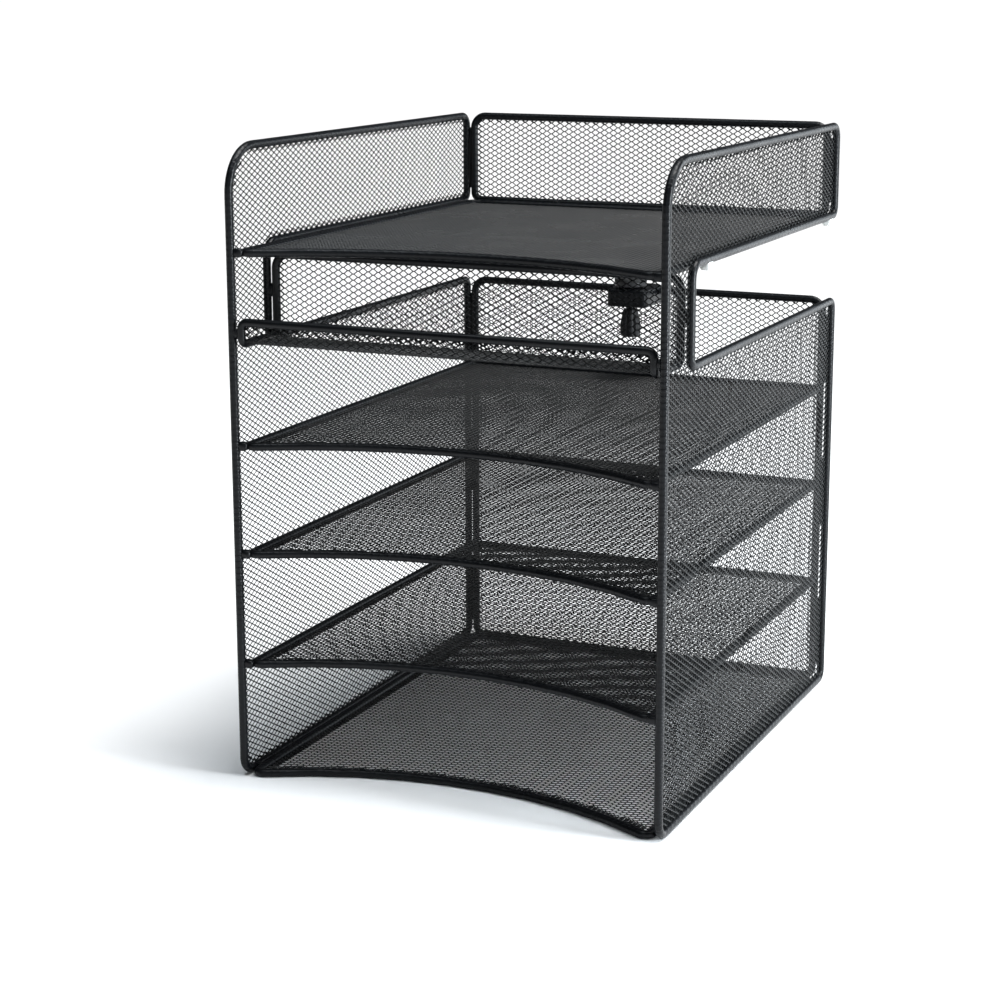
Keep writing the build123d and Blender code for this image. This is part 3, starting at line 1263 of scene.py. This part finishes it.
def round_edges(
    bm: bmesh.types.BMesh, edges: Sequence[bmesh.types.BMEdge], offset: float, segments: int
) -> None:
    """Rounds edges with a bevel.

    Args:
        bm: The mesh that they are in.
        edges: The edges.
        offset: How far the rounding reaches from an edge.
        segments: How many faces go round an edge.
    """
    bmesh.ops.bevel(
        bm,
        geom=edges,
        offset=offset,
        offset_type="OFFSET",
        affect="EDGES",
        segments=segments,
        profile=0.5,
        material=-1,
        clamp_overlap=True,
    )


def block(bm: bmesh.types.BMesh, low: Vector, high: Vector) -> list[bmesh.types.BMVert]:
    """Adds a block.

    Args:
        bm: The mesh to add it to.
        low: Its lowest corner.
        high: Its highest corner.

    Returns:
        Its vertices.
    """
    made = bmesh.ops.create_cube(bm, size=1.0)["verts"]
    bmesh.ops.scale(bm, vec=high - low, verts=made)
    bmesh.ops.translate(bm, vec=(high + low) / 2, verts=made)
    return made


def lathe(
    bm: bmesh.types.BMesh, profile: Sequence[tuple[float, float]], axis_at: Vector, steps: int
) -> None:
    """Adds a turned solid about a vertical axis.

    Args:
        bm: The mesh to add it to.
        profile: Each corner's radius and height, from the axis at one end to it at the other.
        axis_at: A point on the axis. Heights are the frame's own.
        steps: How many faces round the axis.
    """
    verts = [bm.verts.new((axis_at.x + radius, axis_at.y, height)) for radius, height in profile]
    edges = [bm.edges.new(pair) for pair in zip(verts, verts[1:])]
    bmesh.ops.spin(
        bm,
        geom=verts + edges,
        cent=Vector((axis_at.x, axis_at.y, 0)),
        axis=Z_AXIS,
        angle=2 * math.pi,
        steps=steps,
        use_merge=True,
    )
    bmesh.ops.remove_doubles(bm, verts=bm.verts, dist=0.005 * MM)
    bmesh.ops.recalc_face_normals(bm, faces=bm.faces)


@dataclass
class Feet:
    """The four clear bumpers under the tray's rails, with a stepped sole."""

    round_r: float = 1.1 * MM
    width: float = 5.6 * MM
    step: float = 0.6 * MM
    step_depth: float = 0.5 * MM
    round_segments: int = 3

    def dress(self, wardrobe: Wardrobe) -> None:
        """Builds and dresses the feet as one piece."""
        low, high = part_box("tray_feet")
        length = self._foot_length()
        bm = bmesh.new()
        for sign in (-1, 1):
            inner, outer = sign * (high.x - self.width), sign * high.x
            for start in (low.y, high.y - length):
                corner = Vector((min(inner, outer), start, low.z))
                far = Vector((max(inner, outer), start + length, high.z))
                self._foot(bm, corner, far)
        bmesh.ops.recalc_face_normals(bm, faces=bm.faces)
        wardrobe.dress("tray_foot_set", bm, "clear_silicone", Body.ORGANIZER, "tray_feet")

    def _foot(self, bm: bmesh.types.BMesh, low: Vector, high: Vector) -> None:
        """Adds one foot: a rounded block with a smaller raised sole."""
        body_low = low + Vector((0, 0, self.step_depth))
        self._rounded_block(bm, body_low, high, self.round_r)
        inset = Vector((self.step, self.step, 0))
        sole_high = Vector((high.x, high.y, (low.z + high.z) / 2))
        self._rounded_block(bm, low + inset, sole_high - inset, self.step)

    def _rounded_block(
        self, bm: bmesh.types.BMesh, low: Vector, high: Vector, radius: float
    ) -> None:
        """Adds a block with rounded edges."""
        made = set(block(bm, low, high))
        edges = [edge for edge in bm.edges if edge.verts[0] in made]
        round_edges(bm, edges, radius, self.round_segments)

    @staticmethod
    def _foot_length() -> float:
        """The length of one foot along Y."""
        ys = sorted({round(vert.co.y, 5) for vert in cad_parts["tray_feet"].data.vertices})
        gaps = [(after - before, before) for before, after in zip(ys, ys[1:])]
        return max(gaps)[1] - ys[0]


@dataclass
class DeskClamp:
    """The folded bracket, its nut, the thumb screw with its knob, and the swivel pad.

    The frame's nut gives the axis that the screw, the knob and the pad share.
    """

    sheet_t: float = 2.0 * MM
    bend_r: float = 3.0 * MM
    crisp_angle: float = math.radians(60)
    nut_chamfer: float = 0.5 * MM
    nut_bore_share: float = 1.35
    screw_r: float = 3.0 * MM
    thread_pitch: float = 1.0 * MM
    thread_depth: float = 0.55 * MM
    thread_steps: int = 20
    neck_gap: float = 0.5 * MM
    neck_length: float = 2.0 * MM
    neck_steps: int = 24
    tip_r: float = 2.0 * MM
    knob_top_r: float = 4.6 * MM
    knob_foot_r: float = 6.6 * MM
    knob_skirt: float = 8.0 * MM
    flutes: int = 8
    sides_per_flute: int = 10
    flute_depth: float = 0.75 * MM
    flute_run_in: float = 0.12
    flute_run_out: float = 0.16
    knob_levels: Sequence[tuple[float, float]] = (
        (0.02, 0.93),
        (0.06, 0.98),
        (0.11, 1.0),
        (0.3, 1.0),
        (0.44, 1.0),
        (0.7, 1.0),
        (0.86, 1.0),
        (0.94, 0.98),
        (0.985, 0.92),
        (1.0, 0.8),
    )
    knob_bottom_share: float = 0.84
    disc_steps: int = 64

    def dress(self, wardrobe: Wardrobe) -> None:
        """Builds and dresses every piece of the clamp."""
        low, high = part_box("clamp_nut")
        self.axis_at = (low + high) / 2
        steel, oxide = "rim_coat_plain", "black_oxide"
        still, screw, pad = Body.ORGANIZER, Body.SCREW, Body.PAD
        wardrobe.dress("clamp_bracket_pan", self._bracket(), steel, still, "clamp_bracket")
        wardrobe.dress("clamp_weld_nut", self._nut(), oxide, still, "clamp_nut")
        wardrobe.dress("clamp_thumb_screw", self._screw(), oxide, screw, "clamp_screw")
        wardrobe.dress("clamp_fluted_knob", self._knob(), "knob_plastic", screw, "clamp_knob")
        wardrobe.dress("clamp_swivel_disc", self._disc(), oxide, pad, "clamp_pad")
        wardrobe.dress("clamp_rubber_face", self._face(), "rubber", pad, "clamp_pad_face")

    def _bracket(self) -> bmesh.types.BMesh:
        """A sheet pan, open at the back and below, with rounded folds."""
        bm = bmesh.new()
        block(bm, *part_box("clamp_bracket"))
        back = max(bm.faces, key=lambda face: face.calc_center_median().y)
        under = min(bm.faces, key=lambda face: face.calc_center_median().z)
        bmesh.ops.delete(bm, geom=[back, under], context="FACES")
        folds = [edge for edge in bm.edges if len(edge.link_faces) == 2]
        round_edges(bm, folds, self.bend_r, segments=6)
        bmesh.ops.recalc_face_normals(bm, faces=bm.faces)
        bmesh.ops.solidify(bm, geom=bm.faces[:], thickness=self.sheet_t)
        bmesh.ops.recalc_face_normals(bm, faces=bm.faces)
        crisp = [
            edge
            for edge in bm.edges
            if edge.is_manifold and edge.calc_face_angle(0.0) > self.crisp_angle
        ]
        round_edges(bm, crisp, self.sheet_t / 6, segments=2)
        return bm

    def _nut(self) -> bmesh.types.BMesh:
        """A hexagon nut with a chamfered foot."""
        low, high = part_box("clamp_nut")
        radius = (high.x - low.x) / 2
        bm = bmesh.new()
        placed = Matrix.Translation(self.axis_at)
        bmesh.ops.create_cone(
            bm,
            cap_ends=True,
            segments=6,
            radius1=radius,
            radius2=radius,
            depth=high.z - low.z,
            matrix=placed,
        )
        corner = (bm.verts[:][0].co - self.axis_at).to_2d()
        turn = Matrix.Rotation(Vector((1, 0)).angle_signed(corner), 3, "Z")
        bmesh.ops.rotate(bm, cent=self.axis_at, verts=bm.verts, matrix=turn)
        round_edges(bm, bm.edges[:], self.nut_chamfer, segments=2)
        foot = min(bm.faces, key=lambda face: face.calc_center_median().z)
        bore = self.screw_r * self.nut_bore_share
        bmesh.ops.inset_region(bm, faces=[foot], thickness=radius - bore)
        bmesh.ops.translate(bm, verts=foot.verts, vec=(0, 0, self.nut_chamfer))
        return bm

    def _screw(self) -> bmesh.types.BMesh:
        """A threaded shank from inside the knob up to the pad."""
        low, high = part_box("clamp_screw")
        pad_low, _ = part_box("clamp_pad")
        core = self.screw_r - self.thread_depth
        bm = bmesh.new()
        neck = pad_low.z - self.neck_gap
        pitch, steps = self.thread_pitch, self.thread_steps
        turns = int((neck - low.z) / pitch)
        profile = [
            (core, low.z),
            (self.screw_r, low.z + 0.4 * pitch),
            (self.screw_r, low.z + 0.6 * pitch),
            (core, low.z + pitch),
        ]
        verts = [bm.verts.new((self.axis_at.x + r, self.axis_at.y, z)) for r, z in profile]
        edges = [bm.edges.new(pair) for pair in zip(verts, verts[1:])]
        bmesh.ops.spin(
            bm,
            geom=verts + edges,
            cent=self.axis_at,
            axis=Z_AXIS,
            dvec=Vector((0, 0, pitch / steps)),
            angle=2 * math.pi * (turns - 1),
            steps=steps * (turns - 1),
        )
        bmesh.ops.remove_doubles(bm, verts=bm.verts, dist=0.004 * MM)
        bmesh.ops.holes_fill(bm, edges=[edge for edge in bm.edges if edge.is_boundary])
        bmesh.ops.recalc_face_normals(bm, faces=bm.faces)
        foot = neck - self.neck_length
        profile = [(0, foot), (core, foot), (core, pad_low.z)]
        profile += [(self.tip_r, pad_low.z), (self.tip_r, high.z), (0, high.z)]
        lathe(bm, profile, self.axis_at, self.neck_steps)
        return bm

    def _knob(self) -> bmesh.types.BMesh:
        """A tapered knob with rounded ends and finger flutes."""
        low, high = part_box("clamp_knob")
        height = high.z - low.z
        radius = self.knob_foot_r * self.knob_bottom_share
        slope = (self.knob_top_r - self.knob_foot_r) / (height - self.knob_skirt)
        space = Matrix.Translation((-self.axis_at.x, -self.axis_at.y, 0))
        bm = bmesh.new()
        bmesh.ops.create_circle(
            bm,
            cap_ends=True,
            segments=self.flutes * self.sides_per_flute,
            radius=radius,
            matrix=Matrix.Translation((self.axis_at.x, self.axis_at.y, low.z)),
        )
        ring = bm.edges[:]
        for share, swell in self.knob_levels:
            drawn = bmesh.ops.extrude_edge_only(bm, edges=ring)["geom"]
            verts = [item for item in drawn if isinstance(item, bmesh.types.BMVert)]
            ring = [item for item in drawn if isinstance(item, bmesh.types.BMEdge)]
            past_skirt = max(0.0, share * height - self.knob_skirt)
            wanted = (self.knob_foot_r + slope * past_skirt) * swell
            rise = low.z + share * height - verts[0].co.z
            grow = wanted / radius
            bmesh.ops.scale(bm, vec=(grow, grow, 1), verts=verts, space=space)
            bmesh.ops.translate(bm, vec=(0, 0, rise), verts=verts)
            radius = wanted
        bmesh.ops.contextual_create(bm, geom=ring)
        self._flute(bm, low.z, height)
        bmesh.ops.recalc_face_normals(bm, faces=bm.faces)
        return bm

    def _flute(self, bm: bmesh.types.BMesh, foot: float, height: float) -> None:
        """Presses the finger flutes into the knob.

        Args:
            bm: The knob.
            foot: The height of its lower end.
            height: How tall it is.
        """
        for vert in bm.verts:
            away = (vert.co - self.axis_at).to_2d()
            if away.length < 0.1 * MM:
                continue
            angle = math.atan2(away.y, away.x)
            wave = max(0.0, math.cos(self.flutes * angle)) ** 1.5
            share = (vert.co.z - foot) / height
            ease = min(1.0, share / self.flute_run_in, (1.0 - share) / self.flute_run_out)
            cut = self.flute_depth * wave * max(0.0, ease)
            vert.co.xy = self.axis_at.to_2d() + away * (1 - cut / away.length)

    def _disc(self) -> bmesh.types.BMesh:
        """The steel disc of the pad, with a rolled edge and a raised socket."""
        low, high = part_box("clamp_pad")
        radius = (high.x - low.x) / 2
        soft = 0.7 * MM
        profile = [
            (0, low.z),
            (radius * 0.42, low.z),
            (radius * 0.5, low.z + soft * 0.9),
            (radius - soft, low.z + soft * 0.9),
            (radius - soft * 0.3, low.z + soft * 1.2),
            (radius, low.z + soft * 1.9),
            (radius, high.z),
            (0, high.z),
        ]
        bm = bmesh.new()
        lathe(bm, profile, self.axis_at, self.disc_steps)
        return bm

    def _face(self) -> bmesh.types.BMesh:
        """The rubber face of the pad, with ring grooves."""
        low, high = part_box("clamp_pad_face")
        radius = (high.x - low.x) / 2
        groove = 0.4 * MM
        profile = [(0, low.z), (radius - 0.1 * MM, low.z), (radius, low.z + 0.3 * MM)]
        profile += [
            (radius, high.z - 0.5 * MM),
            (radius - 0.2 * MM, high.z - 0.15 * MM),
            (radius - 0.6 * MM, high.z),
        ]
        ring = radius - 1.6 * MM
        while ring > 2 * MM:
            profile += [
                (ring, high.z),
                (ring - 0.15 * MM, high.z - groove),
                (ring - 0.55 * MM, high.z - groove),
                (ring - 0.7 * MM, high.z),
            ]
            ring -= 2.2 * MM
        profile += [(0, high.z)]
        bm = bmesh.new()
        lathe(bm, profile, self.axis_at, self.disc_steps)
        return bm


# ---------------------------------------------------------------------------------------------
# Studio
# ---------------------------------------------------------------------------------------------


@dataclass(frozen=True)
class SoftBox:
    """An area light that looks at the organizer.

    Attributes:
        name: The light's name.
        place: Where it hangs, in metres.
        size: Its width and height, in metres.
        power: Its power in watts.
        colour: Its colour.
    """

    name: str
    place: tuple[float, float, float]
    size: tuple[float, float]
    power: float
    colour: tuple[float, float, float] = (1.0, 1.0, 1.0)


@dataclass
class Studio:
    """The pale floor, the soft lights and the camera.

    Attributes:
        azimuth: The camera's angle from straight in front, towards +X, in degrees.
        elevation: Its angle above the floor, in degrees.
        distance: How far it stands from its target, in metres.
        focal: Its focal length in millimetres.
        sensor_width: The width of its sensor in millimetres.
        target: The point that it looks at.
        shift: The lens shift.
        sky_from: The direction that the sky light comes from.
        sky_spread: The sky light's width, in degrees.
        sky_power: Its power in watts to the square metre.
        ambient: The colour in which the surround lights the organizer.
        aim: The height that the soft boxes look at.
        boxes: The soft boxes.
    """

    azimuth: float = 23.664
    elevation: float = 12.437
    distance: float = 1.3565
    focal: float = 80.17
    sensor_width: float = 36.0
    target: tuple[float, float, float] = (-0.0209, 0.0, 0.1634)
    shift: tuple[float, float] = (-0.020, -0.035)
    sky_from: tuple[float, float, float] = (0.34, 0.22, 1.0)
    sky_spread: float = 38.0
    sky_power: float = 3.9
    ambient: tuple[float, float, float] = (0.075, 0.077, 0.08)
    aim: float = 0.18
    boxes: Sequence[SoftBox] = (
        SoftBox("right_strip", (1.3, -0.1, 0.35), (0.3, 1.2), 50.0, (0.88, 0.95, 1.0)),
        SoftBox("rear_softbox", (0.9, 1.7, 0.4), (0.8, 1.0), 9.0, (0.88, 0.95, 1.0)),
        SoftBox("top_softbox", (-0.2, -0.3, 1.6), (1.0, 0.8), 9.0, (0.86, 0.94, 1.0)),
        SoftBox("front_softbox", (0.3, -2.2, 0.9), (1.6, 0.8), 4.0, (0.86, 0.94, 1.0)),
    )

    def set_up(self) -> None:
        """Builds the floor, the world, the lights and the camera."""
        bpy.context.scene.view_settings.view_transform = "Standard"
        self._floor()
        self._world()
        self._sky()
        for box in self.boxes:
            self._light(box)
        self._camera()

    def _floor(self) -> None:
        """A pale floor that runs far past the view."""
        bm = bmesh.new()
        bmesh.ops.create_grid(bm, x_segments=1, y_segments=1, size=40.0)
        mesh = bpy.data.meshes.new("studio_floor")
        bm.to_mesh(mesh)
        bm.free()
        material = bpy.data.materials.new("studio_paper")
        material.use_nodes = True
        sheet = NodeSheet(material.node_tree)
        shader = sheet.add("ShaderNodeBsdfPrincipled")
        shader.inputs["Base Color"].default_value = (0.9, 0.9, 0.9, 1)
        shader.inputs["Roughness"].default_value = 0.75
        shader.inputs["Specular IOR Level"].default_value = 0.15
        sheet.add("ShaderNodeOutputMaterial", Surface=shader.outputs["BSDF"])
        mesh.materials.append(material)
        floor = bpy.data.objects.new("studio_floor", mesh)
        bpy.context.scene.collection.objects.link(floor)

    def _world(self) -> None:
        """A white surround that lights the organizer only dimly."""
        world = bpy.data.worlds.new("studio_world")
        world.use_nodes = True
        sheet = NodeSheet(world.node_tree)
        seen = sheet.add("ShaderNodeLightPath").outputs["Is Camera Ray"]
        colour = Finish.mix(sheet, seen, (*self.ambient, 1.0), (1.0, 1.0, 1.0, 1.0))
        light = sheet.add("ShaderNodeBackground", Color=colour)
        sheet.add("ShaderNodeOutputWorld", Surface=light.outputs["Background"])
        bpy.context.scene.world = world

    def _sky(self) -> None:
        """One wide soft light from above and the right, even over the whole floor."""
        light = bpy.data.lights.new("sky_light", "SUN")
        light.energy = self.sky_power
        light.angle = math.radians(self.sky_spread)
        lamp = bpy.data.objects.new("sky_light", light)
        lamp.rotation_euler = Vector(self.sky_from).to_track_quat("Z", "Y").to_euler()
        bpy.context.scene.collection.objects.link(lamp)

    def _light(self, box: SoftBox) -> None:
        """Hangs one soft box and turns it to the organizer."""
        light = bpy.data.lights.new(box.name, "AREA")
        light.shape = "RECTANGLE"
        light.size, light.size_y = box.size
        light.energy = box.power
        light.color = box.colour
        lamp = bpy.data.objects.new(box.name, light)
        lamp.visible_camera = False
        lamp.location = box.place
        look = Vector((0, 0, self.aim)) - lamp.location
        lamp.rotation_euler = look.to_track_quat("-Z", "Y").to_euler()
        bpy.context.scene.collection.objects.link(lamp)

    def _camera(self) -> None:
        """Sets the camera in front and to the right, a little above the tray."""
        azimuth, elevation = math.radians(self.azimuth), math.radians(self.elevation)
        back = Vector(
            (
                math.sin(azimuth) * math.cos(elevation),
                -math.cos(azimuth) * math.cos(elevation),
                math.sin(elevation),
            )
        )
        lens = bpy.data.cameras.new("studio_camera")
        lens.sensor_width = self.sensor_width
        lens.lens = self.focal
        lens.shift_x, lens.shift_y = self.shift
        lens.clip_end = 200.0
        camera = bpy.data.objects.new("studio_camera", lens)
        camera.location = Vector(self.target) + back * self.distance
        camera.rotation_euler = (-back).to_track_quat("-Z", "Y").to_euler()
        bpy.context.scene.collection.objects.link(camera)
        bpy.context.scene.camera = camera


def main() -> None:
    """Builds the organizer and its studio."""
    logging.basicConfig(level=logging.INFO, format="%(name)s: %(message)s")
    Studio().set_up()
    wardrobe = Wardrobe()
    ledge = Ledge()
    places = Places.read(ledge.lip_height)
    Sides().dress(wardrobe, places)
    Backs().dress(wardrobe, places)
    Floors().dress(wardrobe, places)
    ledge.dress(wardrobe, places)
    WeldBeads().dress(wardrobe)
    Feet().dress(wardrobe)
    DeskClamp().dress(wardrobe)


if __name__ == "__main__":
    main()
